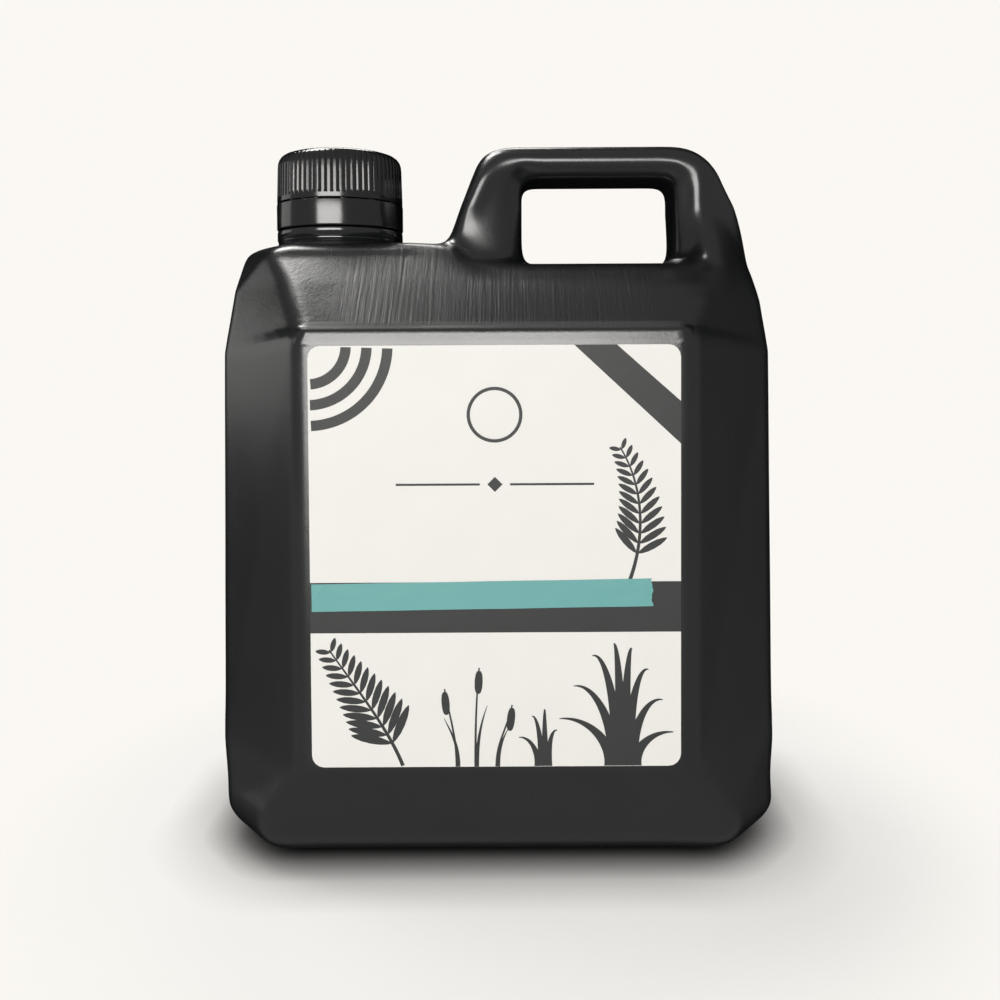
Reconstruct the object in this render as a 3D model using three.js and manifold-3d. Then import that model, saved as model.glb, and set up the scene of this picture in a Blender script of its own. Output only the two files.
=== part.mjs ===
// One litre jerrycan-shaped soap refill bottle with an integral handle, a screw cap with its
// tamper-evident band, and a front label. Millimetres, +Z up, front faces -Y, base centre at the origin.
import * as THREE from 'three';
import Module from 'manifold-3d';
import { mergeVertices } from 'three/addons/utils/BufferGeometryUtils.js';

const wasm = await Module();
wasm.setup();

// Body: a jerrycan with a flat front and back, flat ends, and 45 degree facets between them
const bodyHalfWidth = 65.6;
const bodyHalfDepth = 37.5;
const bodyTaper = 1.1; // the end walls lean in by this up to the shoulder
const facetRun = 23.6; // how far each facet reaches along the front
const panelHalfWidth = bodyHalfWidth - facetRun;
const endHalfDepth = 14; // half the depth of the flat end walls
const verticalEdgeTrim = 2.6; // how far each rounded upright edge reaches along its faces
const wall = 1.3;

// Heel: the body rounds in below heelHeight, and its facets narrow
const baseRoundEnds = 12.4;
const baseRoundFaces = 10.5;
const baseRoundSteps = 5;
const heelHeight = 22;
const heelDrawInEnds = 3.2;
const heelDrawInFaces = 3.5;
const heelFacetRun = 15.6;
const heelPanelHalfWidth = bodyHalfWidth - heelFacetRun;
const heelEndHalfDepth = 20;
const baseRimWidth = 6;
const pushUp = 1.6; // height of the recess under the base
const pushUpFlank = 1.5;
const pushUpCornerX = 4.3;
const pushUpCornerY = 5.5;

// Shoulder: a rounded lip over the label, a long slope, and the platform that carries the neck
const platformHeight = 138;
const shoulderRise = 24.1;
const creaseHeight = platformHeight - shoulderRise;
const creaseRound = 3.5; // height of the rounded lip over the label
const creaseRoundDepth = 1.7;
const creaseStep = 0.5; // small step in behind the lip
const creaseStepHeight = 0.2;
const creaseDropAtEnds = 3.4;
const lipDrawInEnds = 0.3;
const shoulderMidRise = 3; // the slope is slightly crowned: its middle station sits this much high
const shoulderMidShare = 0.56;
const platformSetback = 4;
const platformHalfWidth = bodyHalfWidth - platformSetback;
const platformHalfDepth = 17.6;
const platformFacetRun = 9.6;
const platformPanelHalfWidth = platformHalfWidth - platformFacetRun;
const platformEndHalfDepth = 5.6;
const platformRound = 3.2;
const platformRoundEnds = 7;
const platformRoundRise = 1.92;
const platformRoundSteps = 3;
const platformLeadIn = 1.5; // the slope bends over this height into the platform's round
const platformLeadInDepth = 1.2;

// Handle: a hollow loop on the right, its right leg growing out of the shoulder's facets
const handleRise = 23.5;
const handleHeight = platformHeight + handleRise;
const handleHalfDepth = 11.5;
const handleRound = 4.5;
const barHeight = 7.8;
const saddleDrop = 5; // the shoulder is lower under the hand hole
const saddleHeight = platformHeight - saddleDrop;
const saddleHalfDepth = 14;
const saddleEdge = 5.6; // length of the saddle's rounded edge, front and back
const saddleEdgeDrop = 4.2;
const saddleRampLength = 12;
const rightLegWidth = 22.7;
const handHoleRight = bodyHalfWidth - rightLegWidth;
const handHoleLength = 36.7;
const handHoleLeft = handHoleRight - handHoleLength;
const handHoleTop = handleHeight - barHeight;
const handHoleRound = 2.6;
const leftLegFoot = 18.4; // the left leg leans: it is wide at the platform and narrow at the bar
const leftLegTop = 10.8;
const handleFootLeft = handHoleLeft - leftLegFoot;
const handleTopLeft = handHoleLeft - leftLegTop;
const leftShoulderDrop = 4.3;
const leftShoulderLength = 9;
const leftShoulderBulge = 1.9;
const rightShoulderDrop = 10;
const rightShoulderLength = 13;
const rightShoulderBulge = 4.2;
const rightLegBulge = 2.8;
const handleEndHeight = handleHeight - rightShoulderDrop;
const rightShoulderSetback = 10.2;
const handleEndWidth = bodyHalfWidth - rightShoulderSetback;
const ridgeSetback = 17.1;
const handleRidge = bodyHalfWidth - ridgeSetback; // the right leg's faces turn back here
const tipSetback = 1.6;
const handleTip = bodyHalfWidth - tipSetback;
const handleTipHalfDepth = 2.4;
const legRootDepth = 11;
const legRootFoot = platformHeight - legRootDepth;
const legRootTopDrop = 4.5;
const legRootTop = handleEndHeight - legRootTopDrop;
const legRootInset = 3;
const legRootStart = handHoleRight + legRootInset;
const legRootInnerDepth = 9;
const legRootInnerSpread = 4; // at its foot the root is this much deeper, on its inner side
const legRootRidgeReach = 2.5; // at its ridge
const legRootRidgeSpread = 10;
const legRootEndSpread = 3.4; // and at its outer edge
const legRootTopInset = 0.7; // at its top the root ends just inside the leg

// Neck: standard 28 mm, with a support ring, a bead that holds the tamper band, and a screw thread
const neckSetback = 26.8; // from the end wall to the neck's axis
const neckX = neckSetback - bodyHalfWidth;
const neckRadius = 12.45;
const neckWall = 1.6;
const boreRadius = neckRadius - neckWall;
const neckRise = 19.2;
const neckTop = platformHeight + neckRise;
const neckEdge = 0.4;
const neckRootDepth = 6; // the neck's foot runs this far into the platform
const neckRootTaper = 0.8;
const supportRingRadius = 15.3;
const supportRingRise = 3.8;
const supportRingTop = platformHeight + supportRingRise;
const supportRingGroove = 0.25;
const supportRingGrooveDrop = 2.4;
const supportRingGrooveHeight = supportRingTop - supportRingGrooveDrop;
const tamperBeadRadius = 14.2;
const tamperBeadRise = 3.1;
const tamperBeadBottom = supportRingTop + tamperBeadRise;
const tamperBeadHeight = 1.5;
const tamperBeadFace = 0.45;
const threadLead = 4.23;
const threadTurns = 1.5;
const threadRadius = 13.7;
const threadDrop = 7.2;
const threadStart = neckTop - threadDrop;
const threadFootHalf = 0.9;
const threadCrestHalf = 0.3;
const threadRoot = 0.5; // how deep a thread's foot sits in the wall that carries it
const threadRunOut = 4;

// Foam wad between the mouth and the cap's plate
const linerThickness = 1.4;
const linerSeat = 0.1;
const linerTop = neckTop + linerSeat + linerThickness;

// Screw cap
const runningGap = 0.3;
const capTopPlate = 1.6;
const capTop = linerTop + runningGap + capTopPlate;
const capHeight = 12;
const capBottom = capTop - capHeight;
const capBore = threadRadius + runningGap;
const capWall = 1.3;
const capRadius = capBore + capWall;
const collarHeight = 1.2;
const ribBottom = capBottom + collarHeight;
const ribCount = 66;
const ribDepth = 0.5;
const ribDraft = 0.2;
const ribStep = 0.05; // the ribs start this much inside the collar
const capEdgeRound = 1.8;
const capThreadRoot = 0.3;
const capThreadFootHalf = 0.8;
const capThreadCrestHalf = 0.25;
const capThreadClearance = 0.5;
const capThreadMargin = 0.5; // height of plain wall below the cap's own thread

// Tamper-evident band, left on the neck
const bandStep = 0.1; // the band stands this much proud of the cap
const bandRadius = capRadius + bandStep;
const bandWall = 0.8;
const bandGap = 0.5; // slit between the band and the cap
const bandEdge = 0.2;
const bridgeCount = 14;
const bridgeWidth = 1.3;
const bridgeDepth = 0.48;
const bridgeGap = 0.12; // what is left open over each broken bridge
const bridgeRoot = 0.1;
const lugHeight = 1.6;
const lugCatch = 0.9; // how far the inner lip reaches in under the neck's bead
const lugInnerRadius = tamperBeadRadius - lugCatch;

// Soap
const headspace = 6.8;
const fillHeight = platformHeight - headspace;
const fillClearance = 0.3;

// Label and the strip across it
const labelSideMargin = 2.6;
const labelHalfWidth = panelHalfWidth - labelSideMargin;
const labelBottomMargin = 1.7;
const labelBottom = heelHeight + labelBottomMargin;
const labelTopMargin = 0.2;
const labelTop = creaseHeight - labelTopMargin;
const labelRound = 2.6;
const labelThickness = 0.25;
const stripLength = 72.4;
const stripHeight = 5.9;
const stripStart = 0.3; // from the label's left edge
const stripCentreX = stripStart - labelHalfWidth + stripLength / 2;
const stripRise = 36.9; // from the label's lower edge
const stripCentreZ = labelBottom + stripRise;
const stripTilt = THREE.MathUtils.degToRad(0.7);
const stripThickness = 0.2;
const stripTear = 0.3;

const roundSteps = 3;
const cornerSteps = 4;
const beadSteps = 28;
const turnSteps = 48;

// Turn a closed geometry into a solid that can be joined and cut
function solid(geometry) {
  const bare = geometry.clone();
  bare.deleteAttribute('normal');
  bare.deleteAttribute('uv');
  const merged = mergeVertices(bare, 1e-5);
  return new wasm.Manifold(new wasm.Mesh({
    numProp: 3,
    vertProperties: new Float32Array(merged.attributes.position.array),
    triVerts: new Uint32Array(merged.index.array),
  }));
}

function geometryOf(manifold) {
  const mesh = manifold.getMesh();
  const geometry = new THREE.BufferGeometry();
  geometry.setAttribute('position', new THREE.BufferAttribute(new Float32Array(mesh.vertProperties), 3));
  geometry.setIndex(new THREE.BufferAttribute(new Uint32Array(mesh.triVerts), 1));
  geometry.computeVertexNormals();
  return geometry;
}

// Skin a row of rings that all have the same number of points, and close both ends
function loft(rings) {
  const count = rings[0].length;
  const positions = rings.flat().flatMap((point) => [point.x, point.y, point.z]);
  const faces = [];
  for (let ring = 0; ring < rings.length - 1; ring += 1) {
    for (let side = 0; side < count; side += 1) {
      const a = ring * count + side;
      const b = ring * count + ((side + 1) % count);
      faces.push(a, b, b + count, a, b + count, a + count);
    }
  }
  const last = (rings.length - 1) * count;
  for (let side = 1; side < count - 1; side += 1) {
    faces.push(0, side + 1, side);
    faces.push(last, last + side, last + side + 1);
  }
  const geometry = new THREE.BufferGeometry();
  geometry.setAttribute('position', new THREE.Float32BufferAttribute(positions, 3));
  geometry.setIndex(faces);
  return geometry;
}

// Revolve a profile of [radius, height] points that starts and ends on the axis
function revolve(profile, steps = turnSteps) {
  const points = profile.map(([radius, height]) => new THREE.Vector2(radius, height));
  return solid(new THREE.LatheGeometry(points, steps).rotateX(Math.PI / 2));
}

function disc(radius, low, high, steps = turnSteps) {
  return revolve([[0, low], [radius, low], [radius, high], [0, high]], steps);
}

// Extrude an outline drawn in X and Z through the mid-plane, halfDepth to the front and to the back
function extrudeThroughDepth(shape, halfDepth, options = {}) {
  const edge = options.bevelThickness ?? 0;
  const geometry = new THREE.ExtrudeGeometry(shape, {
    depth: 2 * (halfDepth - edge),
    bevelEnabled: false,
    curveSegments: 6,
    ...options,
  });
  geometry.translate(0, 0, -(halfDepth - edge));
  return solid(geometry.rotateX(Math.PI / 2));
}

// Points of a rounded rectangle, anticlockwise, the same number for every size
function roundedRectangle(halfWidth, bottom, top, round) {
  const corners = [
    [halfWidth - round, bottom + round], [halfWidth - round, top - round],
    [-halfWidth + round, top - round], [-halfWidth + round, bottom + round],
  ];
  return corners.flatMap(([x, y], corner) => Array.from({ length: cornerSteps + 1 }, (_, step) => {
    const angle = (corner - 1 + step / cornerSteps) * (Math.PI / 2);
    return new THREE.Vector2(x + round * Math.cos(angle), y + round * Math.sin(angle));
  }));
}

// How far an octagon's corner moves along its face when the faces are drawn in by one
const cornerShare = Math.tan(Math.PI / 8);

// One level ring of the body: an octagon with rounded corners, drawn in by inset on every side
function octagonRing(plan, z, inset, drop = 0) {
  const x = plan.halfWidth - inset;
  const y = plan.halfDepth - inset;
  const panel = plan.panel - inset * cornerShare;
  const end = plan.end - inset * cornerShare;
  const corners = [
    [x, -end], [x, end], [panel, y], [-panel, y],
    [-x, end], [-x, -end], [-panel, -y], [panel, -y],
  ].map(([px, py]) => new THREE.Vector2(px, py));
  const ring = [];
  corners.forEach((corner, index) => {
    const before = corners[(index + 7) % 8];
    const after = corners[(index + 1) % 8];
    const start = corner.clone().add(before.clone().sub(corner).setLength(verticalEdgeTrim));
    const finish = corner.clone().add(after.clone().sub(corner).setLength(verticalEdgeTrim));
    const bend = new THREE.QuadraticBezierCurve(start, corner, finish);
    bend.getPoints(roundSteps).forEach((point) => {
      const along = THREE.MathUtils.clamp((Math.abs(point.x) - panel) / (x - panel), 0, 1);
      ring.push(new THREE.Vector3(point.x, point.y, z - drop * along));
    });
  });
  return ring;
}

function section(halfWidth, halfDepth, panel, end) {
  return { halfWidth, halfDepth, panel, end };
}

// Plan sections of the body from the base up, each with its height and its drop at the ends
function bodyStations() {
  const stations = [];
  for (let step = 0; step <= baseRoundSteps; step += 1) {
    const angle = (step / baseRoundSteps) * (Math.PI / 2);
    const ends = baseRoundEnds * (1 - Math.sin(angle));
    const faces = baseRoundFaces * (1 - Math.sin(angle));
    stations.push([baseRoundFaces * (1 - Math.cos(angle)), section(
      bodyHalfWidth - heelDrawInEnds - ends, bodyHalfDepth - heelDrawInFaces - faces,
      heelPanelHalfWidth - faces * cornerShare, heelEndHalfDepth - ends * cornerShare), 0]);
  }
  const topHalfWidth = bodyHalfWidth - bodyTaper;
  const lipDepth = bodyHalfDepth - creaseRoundDepth;
  const shoulderFoot = lipDepth - creaseStep;
  const lipTop = creaseHeight + creaseRound;
  stations.push([heelHeight, section(bodyHalfWidth, bodyHalfDepth, panelHalfWidth, endHalfDepth), 0]);
  stations.push([creaseHeight, section(topHalfWidth, bodyHalfDepth, panelHalfWidth, endHalfDepth),
    creaseDropAtEnds]);
  stations.push([creaseHeight + creaseRound / 2, section(topHalfWidth, bodyHalfDepth - creaseRoundDepth / 4,
    panelHalfWidth, endHalfDepth), creaseDropAtEnds]);
  stations.push([lipTop, section(topHalfWidth - lipDrawInEnds, lipDepth,
    panelHalfWidth, endHalfDepth - lipDrawInEnds), creaseDropAtEnds]);
  stations.push([lipTop + creaseStepHeight, section(topHalfWidth - lipDrawInEnds, shoulderFoot,
    panelHalfWidth, endHalfDepth - lipDrawInEnds), creaseDropAtEnds]);
  const slopeTop = platformHeight - platformRoundRise;
  const mid = (from, to) => THREE.MathUtils.lerp(from, to, shoulderMidShare);
  stations.push([(creaseHeight + slopeTop) / 2 + shoulderMidRise, section(
    (topHalfWidth + platformHalfWidth) / 2, mid(shoulderFoot, platformHalfDepth),
    (panelHalfWidth + platformPanelHalfWidth) / 2, (endHalfDepth + platformEndHalfDepth) / 2), 1]);
  for (let step = 0; step <= platformRoundSteps; step += 1) {
    const before = 1 - step / platformRoundSteps;
    const angle = (1 - before) * (Math.PI / 2);
    const inX = platformRoundEnds * (1 - Math.cos(angle));
    const inY = platformRound * (1 - Math.cos(angle));
    stations.push([slopeTop + platformRoundRise * Math.sin(angle) - platformLeadIn * before, section(
      platformHalfWidth - inX, platformHalfDepth + platformLeadInDepth * before - inY,
      platformPanelHalfWidth - inX * 0.6, platformEndHalfDepth), 0]);
  }
  return stations;
}

function bodySolid(inset) {
  const squeeze = (platformHeight - 2 * inset) / platformHeight;
  const rings = bodyStations().map(([z, plan, drop]) => octagonRing(plan, inset + z * squeeze, inset, drop));
  return solid(loft(rings));
}

// The recess under the base, raised by inset so that the floor over it keeps the wall
function pushUpSolid(inset) {
  const halfWidth = bodyHalfWidth - heelDrawInEnds - baseRoundEnds - baseRimWidth;
  const halfDepth = bodyHalfDepth - heelDrawInFaces - baseRoundFaces - baseRimWidth;
  const plan = (shrink) => section(halfWidth - shrink, halfDepth - shrink,
    halfWidth - pushUpCornerX - shrink, halfDepth - pushUpCornerY - shrink);
  return solid(loft([
    octagonRing(plan(0), -1, -inset),
    octagonRing(plan(0), 0, -inset),
    octagonRing(plan(pushUpFlank), pushUp + inset, -inset),
  ]));
}

// The tool that lowers the shoulder under the hand hole, with a rounded lip and a ramp at its left end
function saddleTool(inset) {
  const slopePerRise = (bodyHalfDepth - platformHalfDepth) / shoulderRise;
  const edgeDepth = saddleHalfDepth + saddleEdge;
  const lipDepth = edgeDepth + saddleEdgeDrop * slopePerRise;
  const lipHeight = saddleHeight - saddleEdgeDrop;
  const reach = bodyHalfDepth + saddleEdge;
  const across = new THREE.Shape();
  across.moveTo(-saddleHalfDepth, saddleHeight);
  across.lineTo(saddleHalfDepth, saddleHeight);
  across.quadraticCurveTo(edgeDepth, saddleHeight, lipDepth, lipHeight);
  across.lineTo(reach, lipHeight);
  across.lineTo(reach, handleHeight);
  across.lineTo(-reach, handleHeight);
  across.lineTo(-reach, lipHeight);
  across.lineTo(-lipDepth, lipHeight);
  across.quadraticCurveTo(-edgeDepth, saddleHeight, -saddleHalfDepth, saddleHeight);
  const bar = new THREE.ExtrudeGeometry(across, {
    depth: 2 * bodyHalfWidth,
    bevelEnabled: false,
    curveSegments: 4,
  });
  bar.rotateX(Math.PI / 2).rotateZ(Math.PI / 2).translate(-bodyHalfWidth / 2, 0, 0);
  const rampStart = handleFootLeft - 2;
  const along = new THREE.Shape();
  along.moveTo(rampStart, handleHeight);
  along.lineTo(rampStart, platformHeight + 1);
  along.bezierCurveTo(rampStart + 0.6 * saddleRampLength, platformHeight, rampStart + saddleRampLength / 2,
    lipHeight, rampStart + 2 + saddleRampLength, lipHeight);
  along.lineTo(2 * bodyHalfWidth, lipHeight);
  along.lineTo(2 * bodyHalfWidth, handleHeight);
  const ramp = extrudeThroughDepth(along, reach);
  return solid(bar).intersect(ramp).translate([-inset, 0, -inset]);
}

function handleSolid(inset) {
  const outline = new THREE.Shape();
  const foot = legRootFoot - saddleDrop;
  outline.moveTo(handleFootLeft - 1, foot);
  outline.lineTo(platformHalfWidth, foot);
  outline.quadraticCurveTo(platformHalfWidth + rightLegBulge, platformHeight + 1,
    handleEndWidth, handleEndHeight);
  outline.quadraticCurveTo(handleEndWidth - rightShoulderBulge, handleHeight,
    handleEndWidth - rightShoulderLength, handleHeight);
  outline.lineTo(handleTopLeft + leftShoulderLength, handleHeight);
  outline.quadraticCurveTo(handleTopLeft + leftShoulderBulge, handleHeight,
    handleTopLeft, handleHeight - leftShoulderDrop);
  outline.lineTo(handleFootLeft, platformHeight);
  const block = extrudeThroughDepth(outline, handleHalfDepth - inset, {
    bevelEnabled: true,
    bevelSize: handleRound,
    bevelThickness: handleRound,
    bevelOffset: -handleRound - inset,
    bevelSegments: 4,
    curveSegments: 5,
  });
  return block.intersect(handlePlan(inset)).add(legRoot(inset)).subtract(handHoleTool(inset));
}

// Where a corner goes when the two faces that meet there, given by the points beside it, are drawn in by
// inset. The points run anticlockwise.
function cornerDrawnIn(before, corner, after, inset) {
  const faces = [[before, corner], [corner, after]].map(([from, to]) => {
    const normal = new THREE.Vector2(to.y - from.y, from.x - to.x).normalize();
    return { normal, reach: normal.dot(corner) - inset };
  });
  const [first, second] = faces;
  const spread = first.normal.cross(second.normal);
  return new THREE.Vector2(
    (first.reach * second.normal.y - second.reach * first.normal.y) / spread,
    (second.reach * first.normal.x - first.reach * second.normal.x) / spread);
}

function drawnIn(points, inset) {
  const count = points.length;
  return points.map((point, index) => cornerDrawnIn(
    points[(index + count - 1) % count], point, points[(index + 1) % count], inset));
}

// Seen from above, the handle runs straight and its right leg narrows from a ridge to the outer edge
function handlePlan(inset) {
  const corners = [
    [-bodyHalfWidth, -handleHalfDepth], [handleRidge, -handleHalfDepth], [handleTip, -handleTipHalfDepth],
    [handleTip, handleTipHalfDepth], [handleRidge, handleHalfDepth], [-bodyHalfWidth, handleHalfDepth],
  ].map(([x, y]) => new THREE.Vector2(x, y));
  const plan = new THREE.Shape(drawnIn(corners, inset));
  return solid(new THREE.ExtrudeGeometry(plan, { depth: 2 * handleHeight, bevelEnabled: false }));
}

// The root of the right leg spreads into the shoulder and carries its facets up to the handle
function legRoot(inset) {
  const ring = (z, inner, ridge, outer) => {
    const corners = [
      [inner.x, -inner.y], [ridge.x, -ridge.y], [outer.x, -outer.y],
      [outer.x, outer.y], [ridge.x, ridge.y], [inner.x, inner.y],
    ].map(([x, y]) => new THREE.Vector2(x, y));
    return drawnIn(corners, inset).map((point) => new THREE.Vector3(point.x, point.y, z));
  };
  const foot = ring(legRootFoot,
    { x: legRootStart, y: legRootInnerDepth + legRootInnerSpread },
    { x: handleRidge + legRootRidgeReach, y: handleHalfDepth + legRootRidgeSpread },
    { x: platformHalfWidth, y: platformEndHalfDepth + legRootEndSpread });
  const top = ring(legRootTop,
    { x: legRootStart, y: legRootInnerDepth },
    { x: handleRidge, y: handleHalfDepth - legRootTopInset },
    { x: handleEndWidth, y: platformEndHalfDepth });
  return solid(loft([foot, top]));
}

// The hand hole flares at both faces of the handle; its foot ends inside the shoulder
function handHoleTool(inset) {
  const bottom = saddleHeight - 5;
  const faces = [-1, 1].map((side) => {
    const rings = [{ y: side * (handleHalfDepth + 2), grow: handleRound }];
    for (let step = 0; step <= 4; step += 1) {
      const angle = (step / 4) * (Math.PI / 2);
      const fromFace = handleRound * Math.sin(angle) + inset;
      rings.push({ y: side * (handleHalfDepth - fromFace), grow: handleRound * (1 - Math.sin(angle)) });
    }
    return rings;
  });
  const stations = [...faces[1], ...faces[0].reverse()];
  const halfWidth = (handHoleRight - handHoleLeft) / 2;
  const centre = (handHoleRight + handHoleLeft) / 2;
  return solid(loft(stations.map(({ y, grow }) => {
    const more = grow + inset;
    return roundedRectangle(halfWidth + more, bottom - more, handHoleTop + more, handHoleRound + more)
      .map((point) => new THREE.Vector3(point.x + centre, y, point.y));
  })));
}

// A helical bead: foot sits inside the wall that carries it, crest is the free edge, both ends run out
function threadBead(foot, crest, start, from, turns, footHalf, crestHalf) {
  const rings = [];
  const steps = Math.round(turns * beadSteps);
  for (let step = 0; step <= steps; step += 1) {
    const angle = from + (step / steps) * turns * 2 * Math.PI;
    const fade = Math.min(1, (step + 0.4) / threadRunOut, (steps - step + 0.4) / threadRunOut);
    const tip = foot + (crest - foot) * fade;
    const z = start + (threadLead * angle) / (2 * Math.PI);
    const at = (radius, height) => new THREE.Vector3(
      radius * Math.cos(angle), radius * Math.sin(angle), height);
    const ring = [
      at(foot, z - footHalf), at(foot, z + footHalf), at(tip, z + crestHalf), at(tip, z - crestHalf),
    ];
    rings.push(crest > foot ? ring : ring.reverse());
  }
  return solid(loft(rings));
}

function neckSolid() {
  const foot = platformHeight - neckRootDepth;
  const groove = supportRingGroove;
  return revolve([
    [0, foot],
    [supportRingRadius - neckRootTaper, foot],
    [supportRingRadius - groove / 2, supportRingGrooveHeight - groove],
    [supportRingRadius - groove, supportRingGrooveHeight],
    [supportRingRadius, supportRingGrooveHeight + groove],
    [supportRingRadius, supportRingTop],
    [neckRadius, supportRingTop],
    [neckRadius, tamperBeadBottom],
    [tamperBeadRadius, tamperBeadBottom],
    [tamperBeadRadius, tamperBeadBottom + tamperBeadFace],
    [neckRadius, tamperBeadBottom + tamperBeadHeight],
    [neckRadius, neckTop - neckEdge],
    [neckRadius - neckEdge, neckTop],
    [0, neckTop],
  ]);
}

function makeBottle() {
  const neck = neckSolid().add(threadBead(
    neckRadius - threadRoot, threadRadius, threadStart, 0, threadTurns, threadFootHalf, threadCrestHalf));
  const outside = bodySolid(0).subtract(saddleTool(0))
    .add(handleSolid(0))
    .add(neck.translate([neckX, 0, 0]))
    .subtract(pushUpSolid(0));
  const bore = disc(boreRadius, platformHeight - neckRootDepth, neckTop + 1).translate([neckX, 0, 0]);
  return outside.subtract(insideSolid(wall)).subtract(bore);
}

// The hollow of the body and the handle, drawn in by inset from the outside
function insideSolid(inset) {
  return bodySolid(inset).subtract(saddleTool(inset)).add(handleSolid(inset)).subtract(pushUpSolid(inset));
}

function makeSoap() {
  const reach = 2 * bodyHalfWidth;
  const below = new THREE.BoxGeometry(reach, reach, fillHeight).translate(0, 0, fillHeight / 2);
  return insideSolid(wall + fillClearance).intersect(solid(below));
}

// One ring of the ribbed skirt: each rib rises, runs flat and falls back to the root
function ribRing(radius, z) {
  const ring = [];
  for (let rib = 0; rib < ribCount; rib += 1) {
    [[0, ribDepth], [0.35, 0], [0.75, 0]].forEach(([part, depth]) => {
      const angle = ((rib + part) / ribCount) * 2 * Math.PI;
      const at = radius - depth;
      ring.push(new THREE.Vector3(at * Math.cos(angle), at * Math.sin(angle), z));
    });
  }
  return ring;
}

// The cap's own thread lies half a lead below the neck's, and starts a little over the cap's mouth
const capThreadHeight = threadStart - threadLead / 2;
const capThreadFrom = ((capBottom + capThreadFootHalf + capThreadMargin - capThreadHeight) / threadLead)
  * 2 * Math.PI;

function makeCap() {
  const topRadius = capRadius - ribStep - ribDraft;
  const rings = [ribRing(capRadius - ribStep, ribBottom), ribRing(topRadius, capTop - capEdgeRound)];
  [0.6, 1].forEach((part) => {
    const angle = part * (Math.PI / 2);
    rings.push(ribRing(topRadius - capEdgeRound * (1 - Math.cos(angle)),
      capTop - capEdgeRound * (1 - Math.sin(angle))));
  });
  const collar = disc(capRadius, capBottom, ribBottom + ribDraft, ribCount);
  const hollow = disc(capBore, capBottom - 1, capTop - capTopPlate);
  const bead = threadBead(capBore + capThreadRoot, neckRadius + capThreadClearance, capThreadHeight,
    capThreadFrom, threadTurns, capThreadFootHalf, capThreadCrestHalf);
  return solid(loft(rings)).add(collar).subtract(hollow).add(bead);
}

function makeBand() {
  const inner = bandRadius - bandWall;
  const bottom = supportRingTop + runningGap;
  const top = capBottom - bandGap;
  const lugTop = tamperBeadBottom - runningGap;
  const band = revolve([
    [0, bottom], [bandRadius - bandEdge, bottom], [bandRadius, bottom + bandEdge],
    [bandRadius, top - bandEdge], [bandRadius - bandEdge, top], [0, top],
  ], 2 * turnSteps);
  const hollow = revolve([
    [0, bottom - 1], [inner, bottom - 1], [inner, lugTop - lugHeight],
    [lugInnerRadius, lugTop - lugHeight / 3], [lugInnerRadius, lugTop],
    [inner, lugTop], [inner, top + 1], [0, top + 1],
  ]);
  let ring = band.subtract(hollow);
  const bridgeHeight = bandGap - bridgeGap;
  for (let bridge = 0; bridge < bridgeCount; bridge += 1) {
    const nub = new THREE.BoxGeometry(bridgeDepth, bridgeWidth, bridgeHeight + 2 * bridgeRoot);
    nub.translate(bandRadius - bandEdge - bridgeDepth / 2, 0, top + bridgeHeight / 2 - bridgeRoot);
    nub.rotateZ((bridge / bridgeCount) * 2 * Math.PI);
    ring = ring.add(solid(nub));
  }
  return ring;
}

function makeLiner() {
  return disc(capBore - runningGap, linerTop - linerThickness, linerTop);
}

function makeLabel() {
  const shape = new THREE.Shape(roundedRectangle(labelHalfWidth, labelBottom, labelTop, labelRound));
  const sheet = new THREE.ExtrudeGeometry(shape, { depth: labelThickness, bevelEnabled: false });
  return solid(sheet.rotateX(Math.PI / 2).translate(0, -bodyHalfDepth, 0));
}

// The sticker's right end is roughly torn, so its outline steps in and out there
function makeStrip() {
  const end = stripLength / 2;
  const side = stripHeight / 2;
  const tear = [[-1, -1], [-0.5, 0.3], [-0.1, -0.6], [0.4, 0.6], [1, -0.3]];
  const shape = new THREE.Shape();
  shape.moveTo(-end, -side);
  tear.forEach(([up, out]) => shape.lineTo(end + out * stripTear, up * side));
  shape.lineTo(-end, side);
  const sheet = new THREE.ExtrudeGeometry(shape, { depth: stripThickness, bevelEnabled: false });
  sheet.rotateZ(stripTilt).translate(stripCentreX, stripCentreZ, 0);
  return solid(sheet.rotateX(Math.PI / 2).translate(0, -bodyHalfDepth - labelThickness, 0));
}

const blackPlastic = new THREE.MeshStandardMaterial({ color: 0x2d2e30, roughness: 0.45, metalness: 0 });
const capPlastic = new THREE.MeshStandardMaterial({ color: 0x242527, roughness: 0.35, metalness: 0 });
const foam = new THREE.MeshStandardMaterial({ color: 0xe6e6e1, roughness: 0.9, metalness: 0 });
const labelFilm = new THREE.MeshStandardMaterial({ color: 0xeeeeec, roughness: 0.4, metalness: 0 });
const tealFilm = new THREE.MeshStandardMaterial({ color: 0x54a098, roughness: 0.4, metalness: 0 });
const soap = new THREE.MeshStandardMaterial({ color: 0xe8dfb8, roughness: 0.1, metalness: 0 });

const group = new THREE.Group();

function addPiece(name, manifold, material, x = 0) {
  const mesh = new THREE.Mesh(geometryOf(manifold), material);
  mesh.name = name;
  mesh.position.x = x;
  group.add(mesh);
}

addPiece('bottle', makeBottle(), blackPlastic);
addPiece('liquid_soap', makeSoap(), soap);
addPiece('tamper_band', makeBand(), capPlastic, neckX);
addPiece('screw_cap', makeCap(), capPlastic, neckX);
addPiece('cap_liner', makeLiner(), foam, neckX);
addPiece('front_label', makeLabel(), labelFilm);
addPiece('scent_strip', makeStrip(), tealFilm);

export default group;
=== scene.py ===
# %% [markdown]
# # A soap refill bottle with a carrying handle
#
# The object is a one litre jerrycan, blown in black polyethylene, with its handle moulded in. It has a
# ribbed screw cap over a tamper band, a printed film label and a narrow teal sticker. The construction
# is already there as a fixed frame, in metres. This file dresses it: it models the fine surfaces, gives
# each one its finish, and lights it as a small product picture.

import math

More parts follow.
